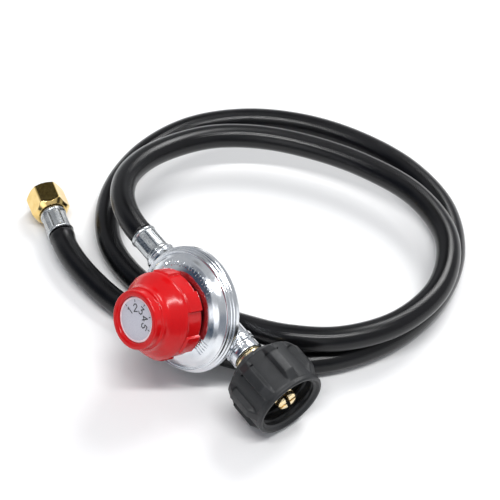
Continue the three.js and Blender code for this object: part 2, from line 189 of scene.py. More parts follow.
def smoothstep(low, high, value):
    t = min(1, max(0, (value - low) / (high - low)))
    return t * t * (3 - 2 * t)


def between(value, table):
    """Straight-line reading of a short list of (value, result) pairs."""
    for (low, first), (high, second) in zip(table, table[1:]):
        if value <= high:
            t = max(0, (value - low) / (high - low))
            return first + (second - first) * t
    return table[-1][1]


def softened(profile, radius, closed):
    """The outline with each corner rounded by a small curve."""
    points = [Vector(point) for point in profile]
    rounded = []
    for i, here in enumerate(points):
        if not closed and i in (0, len(points) - 1):
            rounded.append(here)
            continue
        back = points[i - 1] - here
        ahead = points[(i + 1) % len(points)] - here
        reach = min(radius, back.length * 0.45, ahead.length * 0.45)
        start = here + back.normalized() * reach
        end = here + ahead.normalized() * reach
        for step in range(4):
            t = step / 3
            rounded.append(start.lerp(here, t).lerp(here.lerp(end, t), t))
    return rounded


def divided(points, longest, closed):
    """The outline with long straight runs split up."""
    pairs = list(zip(points, points[1:]))
    if closed:
        pairs.append((points[-1], points[0]))
    fine = []
    for a, b in pairs:
        parts = max(1, math.ceil((b - a).length / longest))
        fine.extend(a.lerp(b, part / parts) for part in range(parts))
    if not closed:
        fine.append(points[-1])
    return fine


def turned(bm, profile, sides=96, soften=0.3, closed=False, longest=50, shape=None):
    """Adds a turned skin round local Z; the outline is (radius, z) in millimetres.

    shape(radius, angle, z) gives the radius where the piece isn't round.
    """
    outline = divided(softened(profile, soften, closed), longest, closed)
    rings = []
    for radius, z in outline:
        if radius < 1e-6:
            rings.append([bm.verts.new((0, 0, z * MM))] * sides)
            continue
        ring = []
        for side in range(sides):
            angle = TURN * side / sides
            reach = (shape(radius, angle, z) if shape else radius) * MM
            ring.append(bm.verts.new((reach * math.cos(angle), reach * math.sin(angle), z * MM)))
        rings.append(ring)
    pairs = list(zip(rings, rings[1:]))
    if closed:
        pairs.append((rings[-1], rings[0]))
    for lower, upper in pairs:
        for side in range(sides):
            beside = (side + 1) % sides
            corners = [lower[side], lower[beside], upper[beside], upper[side]]
            face = list(dict.fromkeys(corners))
            if len(face) > 2:
                bm.faces.new(face)


def thread_place(angle, z, pitch):
    """How far through one turn of a thread a point is, from 0 to 1."""
    return ((z - pitch * angle / TURN) / pitch) % 1


def brick(bm, centre, size, turn=0):
    """Adds a block with its sides along the axes, turned about local Z."""
    corners = [(x, y, z) for x in (-0.5, 0.5) for y in (-0.5, 0.5) for z in (-0.5, 0.5)]
    turning = Matrix.Rotation(turn, 3, "Z")
    verts = []
    for corner in corners:
        offset = Vector(a * b for a, b in zip(corner, size))
        verts.append(bm.verts.new((turning @ (Vector(centre) + offset)) * MM))
    for face in ((0, 1, 3, 2), (4, 6, 7, 5), (0, 4, 5, 1), (2, 3, 7, 6), (0, 2, 6, 4), (1, 5, 7, 3)):
        bm.faces.new([verts[i] for i in face])


def add_to(bm, other):
    """Moves the faces of one bmesh into another."""
    mesh = bpy.data.meshes.new("part")
    other.to_mesh(mesh)
    other.free()
    bm.from_mesh(mesh)
    bpy.data.meshes.remove(mesh)


def finished(name, bm, matrix, crease=32):
    """The object a bmesh becomes, smooth but for its sharp edges, in its frame."""
    bmesh.ops.recalc_face_normals(bm, faces=bm.faces)
    mesh = bpy.data.meshes.new(name)
    bm.to_mesh(mesh)
    bm.free()
    mesh.shade_smooth()
    mesh.set_sharp_from_angle(angle=math.radians(crease))
    obj = bpy.data.objects.new(name, mesh)
    obj.matrix_world = matrix
    bpy.context.scene.collection.objects.link(obj)
    return obj


def apply_modifiers(obj):
    graph = bpy.context.evaluated_depsgraph_get()
    graph.update()
    mesh = bpy.data.meshes.new_from_object(obj.evaluated_get(graph))
    obj.modifiers.clear()
    obj.data = mesh


def cut_out(obj, tool_mesh):
    """Cuts a tool out of obj; the tool is used up."""
    tool = finished("tool", tool_mesh, obj.matrix_world)
    modifier = obj.modifiers.new("cut", "BOOLEAN")
    modifier.object = tool
    modifier.operation = "DIFFERENCE"
    modifier.solver = "EXACT"
    apply_modifiers(obj)
    bpy.data.objects.remove(tool)


def round_edges(obj, width, limit):
    """Narrow bevels on the sharp edges, which catch the light."""
    bevel = obj.modifiers.new("bevel", "BEVEL")
    bevel.width = width * MM
    bevel.segments = 3
    bevel.limit_method = "ANGLE"
    bevel.angle_limit = math.radians(limit)
    apply_modifiers(obj)
    obj.data.shade_smooth()
    obj.data.set_sharp_from_angle(angle=math.radians(40))


# ---- Material helpers ---------------------------------------------------------------

OWN_PLACE = "own_place"
NOISE_LOW = 0.3                        # most of a noise's values lie between these
NOISE_HIGH = 0.7


def keep_own_place(obj):
    """Moves a piece's vertices into the row frame, noting where they were on its axis."""
    mesh = obj.data
    own = mesh.attributes.new(OWN_PLACE, "FLOAT_VECTOR", "POINT")
    for vertex, place in zip(mesh.vertices, own.data):
        place.vector = vertex.co
    mesh.transform(obj.matrix_world)
    obj.matrix_world = Matrix.Identity(4)


class Finish:
    """A material under construction: a Principled shader and the nodes feeding it.

    Its patterns follow each piece's own axis, the row frame for a CAD piece, or the
    hose's length and girth.
    """

    def __init__(self, name, color, roughness, metallic=0.0, coordinates="own axis"):
        self.material = bpy.data.materials.new(name)
        self.material.use_nodes = True
        self.tree = self.material.node_tree
        self.shader = self.tree.nodes["Principled BSDF"]
        self.set("Base Color", (*color, 1))
        self.set("Roughness", roughness)
        self.set("Metallic", metallic)
        if coordinates == "own axis":
            place = self.tree.nodes.new("ShaderNodeAttribute")
            place.attribute_name = OWN_PLACE
            self.where = place.outputs["Vector"]
        else:
            self.where = self.tree.nodes.new("ShaderNodeTexCoord").outputs[coordinates]
        self.height = None

    def set(self, socket, value):
        self.shader.inputs[socket].default_value = value

    def link(self, output, node_input):
        self.tree.links.new(output, node_input)

    def math(self, operation, first, second):
        """A maths node on two values, each a socket or a number."""
        node = self.tree.nodes.new("ShaderNodeMath")
        node.operation = operation
        for socket, value in zip(node.inputs, (first, second)):
            if isinstance(value, (int, float)):
                socket.default_value = value
            else:
                self.link(value, socket)
        return node.outputs[0]

    def noise(self, size, detail=3.0, stretch=(1, 1, 1)):
        """Noise whose features are about that many millimetres across."""
        mapping = self.tree.nodes.new("ShaderNodeMapping")
        mapping.inputs["Scale"].default_value = stretch
        self.link(self.where, mapping.inputs["Vector"])
        node = self.tree.nodes.new("ShaderNodeTexNoise")
        node.inputs["Scale"].default_value = 1 / (size * MM)
        node.inputs["Detail"].default_value = detail
        self.link(mapping.outputs[0], node.inputs["Vector"])
        return node.outputs["Fac"]

    def split(self):
        """The three coordinates, in metres."""
        node = self.tree.nodes.new("ShaderNodeSeparateXYZ")
        self.link(self.where, node.inputs[0])
        return node.outputs

    def tool_rings(self, pitch):
        """Fine rings left by turning about local Z, with that pitch in millimetres."""
        x, y, z = self.split()
        reach = self.math("SQRT", self.math("ADD", self.math("MULTIPLY", x, x),
                                            self.math("MULTIPLY", y, y)), 0)
        along = self.math("ADD", reach, z)
        return self.math("SINE", self.math("MULTIPLY", along, TURN / (pitch * MM)), 0)

    def raise_by(self, height, micrometres):
        """Adds relief to the surface."""
        part = self.math("MULTIPLY", height, micrometres * 1e-6)
        self.height = part if self.height is None else self.math("ADD", self.height, part)

    def vary(self, socket, factor, low, high):
        """Drives a shader value from low to high by a noise."""
        node = self.tree.nodes.new("ShaderNodeMapRange")
        node.inputs["From Min"].default_value = NOISE_LOW
        node.inputs["From Max"].default_value = NOISE_HIGH
        node.inputs["To Min"].default_value = low
        node.inputs["To Max"].default_value = high
        self.link(factor, node.inputs["Value"])
        self.link(node.outputs[0], self.shader.inputs[socket])

    def tint(self, factor, low, high):
        """Colours the surface from low to high by a noise."""
        node = self.tree.nodes.new("ShaderNodeValToRGB")
        node.color_ramp.elements[0].position = NOISE_LOW
        node.color_ramp.elements[0].color = (*low, 1)
        node.color_ramp.elements[1].position = NOISE_HIGH
        node.color_ramp.elements[1].color = (*high, 1)
        self.link(factor, node.inputs["Fac"])
        self.link(node.outputs["Color"], self.shader.inputs["Base Color"])

    def done(self):
        if self.height is not None:
            bump = self.tree.nodes.new("ShaderNodeBump")
            bump.inputs["Distance"].default_value = 1
            self.link(self.height, bump.inputs["Height"])
            self.link(bump.outputs["Normal"], self.shader.inputs["Normal"])
        return self.material


# ---- Materials ----------------------------------------------------------------------


def cast_zinc():
    """Bright plated die casting, a little uneven."""
    finish = Finish("cast_zinc", (0.72, 0.74, 0.76), 0.18, 1)
    finish.vary("Roughness", finish.noise(1.5), 0.13, 0.22)
    finish.tint(finish.noise(9), (0.66, 0.69, 0.73), (0.78, 0.8, 0.82))
    finish.raise_by(finish.noise(0.5), 5)
    finish.raise_by(finish.noise(5), 24)
    return finish.done()


def turned_zinc():
    finish = Finish("turned_zinc", (0.5, 0.52, 0.53), 0.26, 1)
    finish.vary("Roughness", finish.noise(0.8), 0.2, 0.33)
    finish.tint(finish.noise(6), (0.42, 0.44, 0.45), (0.58, 0.6, 0.61))
    finish.raise_by(finish.tool_rings(0.35), 1.2)
    finish.raise_by(finish.noise(0.4), 6)
    return finish.done()


def plain_steel():
    finish = Finish("plain_steel", (0.62, 0.62, 0.61), 0.35, 1, "Object")
    finish.vary("Roughness", finish.noise(1), 0.28, 0.42)
    finish.tint(finish.noise(4), (0.55, 0.55, 0.55), (0.66, 0.66, 0.65))
    finish.raise_by(finish.noise(0.3), 5)
    return finish.done()


def inner_brass():
    """The brass of the small pieces inside the casing."""
    finish = Finish("inner_brass", (0.9, 0.74, 0.45), 0.25, 1, "Object")
    finish.tint(finish.noise(3), (0.84, 0.66, 0.36), (0.92, 0.77, 0.5))
    finish.vary("Roughness", finish.noise(1), 0.2, 0.32)
    finish.raise_by(finish.noise(0.4), 5)
    return finish.done()


def brass(name, low, high, roughness=0.2):
    """Turned brass with fine tool rings round its axis."""
    finish = Finish(name, high, roughness, 1)
    finish.vary("Roughness", finish.noise(1.2), roughness * 0.75, roughness * 1.35)
    finish.tint(finish.noise(5), low, high)
    finish.raise_by(finish.tool_rings(0.25), 0.8)
    finish.raise_by(finish.noise(0.5), 5)
    return finish.done()


def sintered_bronze():
    finish = Finish("sintered_bronze", (0.3, 0.2, 0.09), 0.7, 1, "Object")
    grains = finish.noise(0.25, detail=1)
    finish.tint(grains, (0.16, 0.1, 0.04), (0.42, 0.29, 0.14))
    finish.vary("Roughness", grains, 0.6, 0.85)
    finish.raise_by(grains, 60)
    return finish.done()


def red_plastic():
    """Glossy moulded plastic with a faint orange-peel skin."""
    finish = Finish("red_plastic", (0.52, 0.003, 0.005), 0.2)
    finish.tint(finish.noise(12), (0.5, 0.003, 0.005), (0.58, 0.005, 0.007))
    finish.vary("Roughness", finish.noise(0.9), 0.15, 0.23)
    finish.raise_by(finish.noise(1.6), 9)
    finish.set("Specular IOR Level", 0.3)
    return finish.done()


def black_plastic():
    """Fine-grained moulded plastic."""
    finish = Finish("black_plastic", (0.022, 0.023, 0.025), 0.45)
    finish.tint(finish.noise(7), (0.014, 0.015, 0.016), (0.022, 0.023, 0.025))
    finish.vary("Roughness", finish.noise(0.7), 0.4, 0.55)
    finish.set("Specular IOR Level", 0.35)
    finish.raise_by(finish.noise(0.35, detail=2), 24)
    finish.raise_by(finish.noise(3), 12)
    return finish.done()


def amber_plastic():
    finish = Finish("amber_plastic", (0.35, 0.13, 0.03), 0.4, 0, "Object")
    finish.tint(finish.noise(3), (0.3, 0.1, 0.02), (0.4, 0.16, 0.04))
    finish.vary("Roughness", finish.noise(0.8), 0.35, 0.5)
    finish.raise_by(finish.noise(0.5), 8)
    return finish.done()


def moulded_rubber():
    finish = Finish("moulded_rubber", (0.02, 0.02, 0.02), 0.5, 0, "Object")
    finish.tint(finish.noise(3), (0.015, 0.015, 0.015), (0.028, 0.028, 0.028))
    finish.vary("Roughness", finish.noise(0.6), 0.42, 0.6)
    finish.raise_by(finish.noise(0.4), 10)
    return finish.done()


WEAVE_PITCH = 1.335                    # millimetres, along the hose and round it


def hose_cover():
    """Black rubber with the print of the wrapping cloth: two crossed sets of threads."""
    finish = Finish("hose_cover", (0.007, 0.007, 0.008), 0.3, coordinates="UV")
    u, v, _ = finish.split()
    threads = []
    for way in (1, -1):
        slant = finish.math("ADD", finish.math("MULTIPLY", v, way), u)
        wave = finish.math("SINE", finish.math("MULTIPLY", slant, TURN / (WEAVE_PITCH * MM)), 0)
        threads.append(wave)
    weave = finish.math("MAXIMUM", *threads)
    finish.raise_by(weave, 20)
    finish.raise_by(finish.noise(0.5), 3)
    finish.raise_by(finish.noise(18, detail=1), 60)
    finish.vary("Roughness", finish.noise(2.5), 0.13, 0.2)
    finish.tint(finish.noise(14), (0.003, 0.003, 0.0035), (0.006, 0.006, 0.007))
    finish.set("Specular IOR Level", 0.34)
    return finish.done()


def label_film():
    finish = Finish("label_film", (0.5, 0.5, 0.56), 0.38)
    finish.tint(finish.noise(0.5), (0.46, 0.46, 0.53), (0.55, 0.55, 0.6))
    finish.vary("Roughness", finish.noise(0.8), 0.3, 0.45)
    finish.raise_by(finish.noise(0.6), 5)
    return finish.done()


def label_edge():
    finish = Finish("label_edge", (0.85, 0.7, 0.74), 0.4)
    finish.tint(finish.noise(2), (0.8, 0.62, 0.67), (0.9, 0.8, 0.83))
    finish.vary("Roughness", finish.noise(0.8), 0.35, 0.5)
    return finish.done()


def black_ink():
    finish = Finish("black_ink", (0.02, 0.02, 0.025), 0.4)
    finish.tint(finish.noise(0.4), (0.015, 0.015, 0.02), (0.04, 0.04, 0.045))
    finish.vary("Roughness", finish.noise(0.5), 0.35, 0.5)
    return finish.done()


CAST_ZINC = cast_zinc()
TURNED_ZINC = turned_zinc()
STEEL = plain_steel()
NUT_BRASS = brass("nut_brass", (0.8, 0.56, 0.2), (0.9, 0.68, 0.3), 0.16)
PALE_BRASS = brass("pale_brass", (0.86, 0.68, 0.38), (0.95, 0.8, 0.52), 0.22)
INNER_BRASS = inner_brass()
BRONZE = sintered_bronze()
RED = red_plastic()
BLACK = black_plastic()
AMBER = amber_plastic()
RUBBER = moulded_rubber()
COVER = hose_cover()
FILM = label_film()
FILM_EDGE = label_edge()
INK = black_ink()

# The CAD pieces inside the casing, the nut and the hose are kept as they are.
KEPT_PIECES = {
    "vent_screen": STEEL,
    "adjust_screw": STEEL,
    "spring_button": STEEL,
    "main_spring": STEEL,
    "diaphragm": RUBBER,
    "diaphragm_plate": STEEL,
    "diaphragm_stem": INNER_BRASS,
    "lever": STEEL,
    "lever_pin": STEEL,
    "valve_stem": INNER_BRASS,
    "seat_disc": RUBBER,
    "inlet_orifice": INNER_BRASS,
    "inlet_filter": BRONZE,
    "flow_ball": STEEL,
    "flow_spring": STEEL,
    "thermal_bushing": AMBER,
    "outlet_barb": INNER_BRASS,
}


def repaint_kept_pieces():
    for name, material in KEPT_PIECES.items():
        for slot in frame["nodes"][name].material_slots:
            slot.material = material


def fit_out(obj, material, node, body):
    """Paints a piece, lets it stand for its CAD node and puts it on its body."""
    keep_own_place(obj)
    obj.data.materials.clear()
    obj.data.materials.append(material)
    if node:
        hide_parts(node)
    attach(obj, body)
    return obj


# ---- Hose ---------------------------------------------------------------------------

RING_SPACING = 2 * MM
RING_SIDES = 32


def hose_radius(distance, total):
    """Full size outside the ferrules, squeezed inside, swollen at the flare end."""
    squeezed_start = smoothstep(-0.2 * MM, 1.4 * MM, distance)
    squeezed_end = smoothstep(-0.2 * MM, 1.4 * MM, total - distance)
    swell = math.exp(-(((total - distance) / MM - 2.2) / 2.4) ** 2) * 0.5
    full = HOSE_IN_FERRULE + (HOSE_RADIUS - HOSE_IN_FERRULE) * squeezed_start * squeezed_end
    return (full + swell * squeezed_end) * MM


def hose_skin(line, total):
    """A tube round the line, with its texture laid out in metres."""
    bm = bmesh.new()
    grid = bm.loops.layers.uv.new("along_and_round")
    around = (line[1] - line[0]).orthogonal().normalized()
    rings = []
    distance = -FERRULE_LENGTH * MM / 2
    for i, point in enumerate(line):
        way = (line[min(i + 1, len(line) - 1)] - line[max(i - 1, 0)]).normalized()
        around = (around - way * around.dot(way)).normalized()
        beside = way.cross(around)
        radius = hose_radius(distance, total)
        ring = []
        for side in range(RING_SIDES):
            angle = TURN * side / RING_SIDES
            offset = around * math.cos(angle) + beside * math.sin(angle)
            ring.append(bm.verts.new(point + offset * radius))
        rings.append((distance, ring))
        if i + 1 < len(line):
            distance += (line[i + 1] - point).length
    girth = TURN * HOSE_RADIUS * MM
    for (low, lower), (high, upper) in zip(rings, rings[1:]):
        for side in range(RING_SIDES):
            beside = (side + 1) % RING_SIDES
            face = bm.faces.new([lower[side], lower[beside], upper[beside], upper[side]])
            left = girth * side / RING_SIDES
            right = girth * (side + 1) / RING_SIDES
            for loop, place in zip(face.loops, ((low, left), (low, right), (high, right), (high, left))):
                loop[grid].uv = place
    return bm


def make_hose():
    points = [Vector(point) for point in HOSE_ROUTE]
    path, length = evenly_spaced(smooth_line(points), RING_SPACING)
    depth = FERRULE_LENGTH * MM / 2
    inside_outlet = OUTLET.translation
    inside_flare = FLARE.translation
    before = [inside_outlet + inlet_way * depth * part for part in (1, 0.5, 0.1)]
    after = [inside_flare + flare_way * depth * part for part in (0.1, 0.5, 1)]
    fine = [path[0].lerp(path[1], part) for part in (0, 0.25, 0.5, 0.75)]
    last = [path[-2].lerp(path[-1], part) for part in (0.25, 0.5, 0.75, 1)]
    line = before + fine + path[1:-1] + last + after
    hose = finished("hose_cover", hose_skin(line, length), Matrix.Identity(4), crease=60)
    fit_out(hose, COVER, "hose", "regulator")
    return hose, path, length


# ---- Hose fittings ------------------------------------------------------------------


CRIMP_RIDGES = 12
CRIMP_DEPTH = 0.45
RIDGE_HEIGHT = 0.4


def fluted(radius, angle, z):
    """Crimp marks: hollows between narrow ridges along the barrel."""
    if radius < 6.6 or not 2.0 < z < FERRULE_LENGTH - 1.9:
        return radius
    ridge = abs(math.cos(CRIMP_RIDGES / 2 * angle)) ** 8
    return radius - CRIMP_DEPTH + RIDGE_HEIGHT * ridge


def ferrule_mesh():
    """Crimped sleeve with a lip at each end; the hose enters at z = 0."""
    end = FERRULE_LENGTH
    bm = bmesh.new()
    turned(bm, [
        (6.2, 0), (7.1, 0), (7.6, 0.6), (7.5, 1.4), (7.0, 2.0), (7.0, end - 1.9),
        (7.1, end - 1.6), (7.4, end - 1.3), (7.4, end), (3.6, end), (3.6, end - 1.2),
        (6.2, end - 1.2),
    ], sides=144, closed=True, soften=0.25, longest=1.2, shape=fluted)
    return bm


def make_outlet_ferrule():
    obj = finished("outlet_sleeve", ferrule_mesh(), OUTLET)
    fit_out(obj, TURNED_ZINC, "outlet_ferrule", "regulator")


def make_flare_ferrule():
    obj = finished("flare_sleeve", ferrule_mesh(), FLARE)
    return fit_out(obj, TURNED_ZINC, "flare_ferrule", "regulator")


def make_flare_stem():
    """Barb in the hose and a 45 degree seat inside the nut."""
    head = FERRULE_LENGTH + 5.4
    bm = bmesh.new()
    turned(bm, [
        (2.1, 0.6), (2.9, 0.6), (3.3, 1.8), (2.9, 4.6), (3.3, 5.8), (2.9, 8.6),
        (3.3, 9.8), (3.3, 16), (4.4, 16), (4.4, head), (6.9, head), (6.9, head + 2.6),
        (5.2, head + 4.4), (2.1, head + 1.3),
    ], closed=True, soften=0.2)
    obj = finished("flare_tail", bm, FLARE)
    return fit_out(obj, PALE_BRASS, "flare_stem", "regulator")


FLARE_NUT_LENGTH = 16.5
FLARE_NUT_FLATS = 19                   # across flats
FLARE_THREAD_PITCH = 1.41
FLARE_THREAD_DEPTH = 0.45


def make_flare_nut():
    """Hexagon nut, chamfered round at both ends, threaded inside."""
    start = FERRULE_LENGTH + 0.6
    end = start + FLARE_NUT_LENGTH
    pitch = FLARE_THREAD_PITCH

    def surface(radius, angle, z):
        if radius > 8.1:
            offset = angle % (TURN / 6) - TURN / 12
            return min(radius, FLARE_NUT_FLATS / 2 / math.cos(offset))
        if radius > 7 and start + 5.5 < z < end - 1:
            turn = thread_place(angle, z, pitch)
            return radius + FLARE_THREAD_DEPTH * abs(2 * turn - 1)
        return radius

    bm = bmesh.new()
    turned(bm, [
        (4.8, start), (8.2, start), (10.85, start + 3), (10.85, end - 1.2), (9.2, end),
        (8, end), (7.4, end - 0.6), (7.4, start + 4.4), (4.8, start + 4.4),
    ], sides=192, closed=True, soften=0.15, longest=pitch / 6, shape=surface)
    obj = finished("flare_swivel_nut", bm, FLARE, crease=24)
    return fit_out(obj, NUT_BRASS, "flare_nut", "flare_coupling")


# ---- Regulator casing ---------------------------------------------------------------


def make_lower_body():
    """Cast bowl and flange on the knob axis, with the two bosses across it."""
    bm = bmesh.new()
    turned(bm, [
        (0, -12), (10.5, -12), (12.6, -10.4), (17.5, 5), (19.4, 8.4), (30.3, 9.2),
        (30.3, 10.5), (31.5, 10.5), (31.5, 12.2), (27, 12.2), (26, 11.4), (17.2, 10.6),
        (15.2, 5), (11, -8.6), (0, -8.6),
    ], soften=1)
    for lug in (-2.9, 2.9):
        brick(bm, (8, lug, -5.6), (3.6, 2, 6.4))
    bosses = bmesh.new()
    turned(bosses, [
        (4.9, 11), (8.3, 11), (8.5, 27.8), (9.3, 28.3), (9.3, 30.6), (8.8, 30.9),
        (8.8, 31.3), (9.3, 31.6), (9.3, 32.6), (8.5, 33), (8.5, 33.7), (9, 34.1),
        (9, 38.1), (8.2, 38.8), (4.9, 38.8),
    ], closed=True, soften=0.35)
    turned(bosses, [
        (4.9, -40.5), (8, -40.5), (8.6, -39.9), (8.7, -38.6), (8.2, -38.2), (8.2, -37.6),
        (8.7, -37.2), (8.8, -11), (4.9, -11),
    ], closed=True, soften=0.35)
    to_body = KNOB.inverted() @ INLET
    bmesh.ops.transform(bosses, matrix=to_body, verts=bosses.verts)
    add_to(bm, bosses)
    obj = finished("body_casting", bm, KNOB)
    fit_out(obj, CAST_ZINC, "lower_body", "regulator")


DOME = [
    (28.2, 19), (26, 20.7), (23.2, 22.1), (19.4, 23.2), (15.6, 23.8),
]


def dome_height(radius):
    """The bonnet's outer surface, used to seat the raised marks on it."""
    return between(-radius, [(-reach, z) for reach, z in DOME])


NECK_RADIUS = 14.2
NECK_THREAD_PITCH = 1.5
NECK_THREAD_DEPTH = 0.35


def make_bonnet():
    """Rolled over the flange, with stepped rings, a dome and the neck the knob runs on."""
    bm = bmesh.new()

    def neck_thread(radius, angle, z):
        if not 13.9 < radius < 14.3 or not 27 < z < 41:
            return radius
        turn = thread_place(angle, z, NECK_THREAD_PITCH)
        return radius - NECK_THREAD_DEPTH * abs(2 * turn - 1)

    turned(bm, [
        (30.6, 9.2), (32.9, 9.2), (33.5, 9.8), (33.5, 12.4), (32.9, 12.9), (32.5, 13.1),
        (32.5, 13.4), (32.9, 13.7), (32.8, 14.3), (32.2, 14.7), (31.9, 15), (32.1, 15.5),
        (31.9, 16.2), (31.3, 16.7), (30.7, 16), (29.6, 17.2), *DOME,
        (NECK_RADIUS, 24.6), (NECK_RADIUS, 42), (9.3, 42), (9.3, 31.4), (11.6, 31.4),
        (11.6, 22.2), (15, 21.8),
        (19, 21.2), (22.6, 20), (25.2, 18.6), (27.4, 16.8), (28.4, 15.2), (28.4, 13.8),
        (31.8, 13.8), (31.8, 10.2), (30.6, 10.2),
    ], sides=192, closed=True, soften=0.5, longest=0.25, shape=neck_thread)
    obj = finished("bonnet_casting", bm, KNOB, crease=50)
    vent = bmesh.new()
    turned(vent, [(0, 16), (1.6, 16), (1.6, 28), (0, 28)], sides=32, soften=0)
    bmesh.ops.translate(vent, vec=(-15 * MM, -15 * MM, 0), verts=vent.verts)
    cut_out(obj, vent)
    obj.data.shade_smooth()
    obj.data.set_sharp_from_angle(angle=math.radians(50))
    fit_out(obj, CAST_ZINC, "bonnet", "regulator")


def raised_rib(bm, radius, angle, length, width, lean=0):
    """A small cast rib on the dome, lying along it, leaning off the radial direction."""
    half = length / 2
    way = angle + lean
    centre = Vector((radius * math.cos(angle), radius * math.sin(angle)))
    along = Vector((math.cos(way), math.sin(way)))
    across = Vector((-along.y, along.x))
    rows = []
    for t in (-1, -0.5, 0, 0.5, 1):
        row = []
        for s, rise in ((-0.5, -0.2), (-0.25, 0.55), (0.25, 0.55), (0.5, -0.2)):
            spot = centre + along * half * t + across * width * s
            lift = rise if abs(t) < 1 else -0.2
            height = dome_height(spot.length) + lift
            row.append(bm.verts.new((spot.x * MM, spot.y * MM, height * MM)))
        rows.append(row)
    for row, following in zip(rows, rows[1:]):
        for i in range(3):
            bm.faces.new([row[i], row[i + 1], following[i + 1], following[i]])


def make_cast_marks():
    """Plain ribs where the casting carries raised marks: an arc of ticks and a fan."""
    bm = bmesh.new()
    for tick in range(19):
        angle = math.radians(66 + tick * 4.6)
        length = 2.4 if tick % 3 else 3.6
        raised_rib(bm, 25.8, angle, length, 0.9, lean=math.radians(16 * (tick % 2)))
    for rib in range(5):
        angle = math.radians(1 - rib * 4)
        raised_rib(bm, 24, angle, 5.8, 1.1, lean=math.radians(-14))
    obj = finished("bonnet_ribs", bm, KNOB, crease=20)
    fit_out(obj, CAST_ZINC, None, "regulator")


# ---- Adjusting knob -----------------------------------------------------------------


GRIP_PADS = 6
SKIRT_RADIUS = 22.4
PAD_RADIUS = 23.8


def gripped(radius, angle, z):
    """Raised pads round the skirt."""
    if radius < 22 or z > 36.9:
        return radius
    share = TURN / GRIP_PADS
    offset = (angle + share / 2) % share - share / 2
    across = abs(offset) * PAD_RADIUS
    pad = 1 - smoothstep(5.2, 5.8, across)
    top = 1 - smoothstep(35.5, 36.7, z)
    rise = PAD_RADIUS - SKIRT_RADIUS
    return radius + rise * pad * top * smoothstep(22, SKIRT_RADIUS, radius)


def make_knob():
    """Bell-shaped cap: ribbed skirt, sloping shoulder, round front with a recess."""
    bm = bmesh.new()
    turned(bm, [
        (0, 48.2), (6.3, 48.2), (6.3, 43.9), (8.5, 43.9), (8.5, 47.7), (14.4, 47.7),
        (15, 44.1), (19.8, 37.5), (20, 26.5), (SKIRT_RADIUS, 26.5), (SKIRT_RADIUS, 35.7), (22.9, 36.9),
        (22.6, 37.8), (21.3, 39.9), (19.4, 42.1), (17.5, 44.2), (16.7, 45.8), (16.5, 48),
        (15.5, 48.4), (15.5, 52.5), (14.9, 53.1), (13, 53.1), (12.1, 52.5), (12, 50.5),
        (0, 50.5),
    ], sides=288, soften=0.45, longest=0.6, shape=gripped)
    obj = finished("knob_cap", bm, KNOB, crease=45)
    fit_out(obj, RED, "adjust_knob", "knob")


FILM_RADIUS = 10.75


def make_label():
    bm = bmesh.new()
    turned(bm, [
        (0, 50.8), (FILM_RADIUS, 50.8), (FILM_RADIUS, 51.3), (0, 51.3),
    ], soften=0.12)
    obj = finished("label_face", bm, KNOB)
    fit_out(obj, FILM, "knob_label", "knob")
    rim = bmesh.new()
    turned(rim, [
        (FILM_RADIUS, 50.8), (11.8, 50.8), (11.8, 51.25), (FILM_RADIUS, 51.35),
    ], closed=True, soften=0.12)
    fit_out(finished("label_border", rim, KNOB), FILM_EDGE, None, "knob")


# Strokes of each digit in a box one unit wide and two high, as lines of points.
DIGITS = {
    1: [[(0.3, 1.7), (0.6, 2), (0.6, 0)]],
    2: [[(0, 1.6), (0.3, 2), (0.8, 2), (1, 1.6), (1, 1.3), (0, 0), (1, 0)]],
    3: [[(0, 2), (1, 2), (0.4, 1.2), (0.8, 1.1), (1, 0.6), (0.8, 0.1), (0.3, 0), (0, 0.3)]],
    4: [[(0.75, 0), (0.75, 2), (0, 0.6), (1, 0.6)]],
    5: [[(1, 2), (0.1, 2), (0, 1.1), (0.6, 1.2), (1, 0.8), (0.9, 0.2), (0.4, 0), (0, 0.3)]],
}
PRINT_HEIGHT = 51.36
DIGIT_RING = 6.2                       # radius that the digits stand on
DIGIT_WIDTH = 2.3
HALF_DIGIT_HEIGHT = 1.9


def printed_line(bm, start, end, width):
    """A flat ink stroke between two points of the label."""
    start = Vector(start)
    end = Vector(end)
    along = (end - start).normalized() * width / 2
    across = Vector((-along.y, along.x))
    corners = [start - along - across, end + along - across, end + along + across,
               start - along + across]
    face = [bm.verts.new((c.x * MM, c.y * MM, PRINT_HEIGHT * MM)) for c in corners]
    bm.faces.new(face)


def make_label_print():
    """A plain dial: the digits 1 to 5 with a tick for each, round part of the label."""
    bm = bmesh.new()
    for digit, strokes in DIGITS.items():
        angle = math.radians(214 - digit * 41)
        centre = Vector((DIGIT_RING * math.cos(angle), DIGIT_RING * math.sin(angle)))
        right = Vector((math.sin(angle), -math.cos(angle)))
        up = Vector((math.cos(angle), math.sin(angle)))
        for stroke in strokes:
            places = [
                centre + right * (x - 0.5) * DIGIT_WIDTH + up * (y - 1) * HALF_DIGIT_HEIGHT
                for x, y in stroke
            ]
            for start, end in zip(places, places[1:]):
                printed_line(bm, start, end, 0.6)
        printed_line(bm, up * 9.4, up * 10.3, 0.5)
    obj = finished("label_scale", bm, KNOB)
    fit_out(obj, INK, None, "knob")


# ---- Inlet --------------------------------------------------------------------------

NUT_LOBES = 8
LOBE_TOP = 2.1                         # half of a rib's width at its top and foot
LOBE_FOOT = 3.7
NUT_BORE = 15.9
NUT_THREAD_PITCH = 5.08
NUT_THREAD_DEPTH = 0.9
LOBE_OUTLINE = [
    (43.3, 12.2), (48.6, 20.8), (53.1, 22.7), (53.8, 22.9), (66.6, 22.9), (67.3, 22.7),
    (71.8, 20.2), (71.9, 10),
]


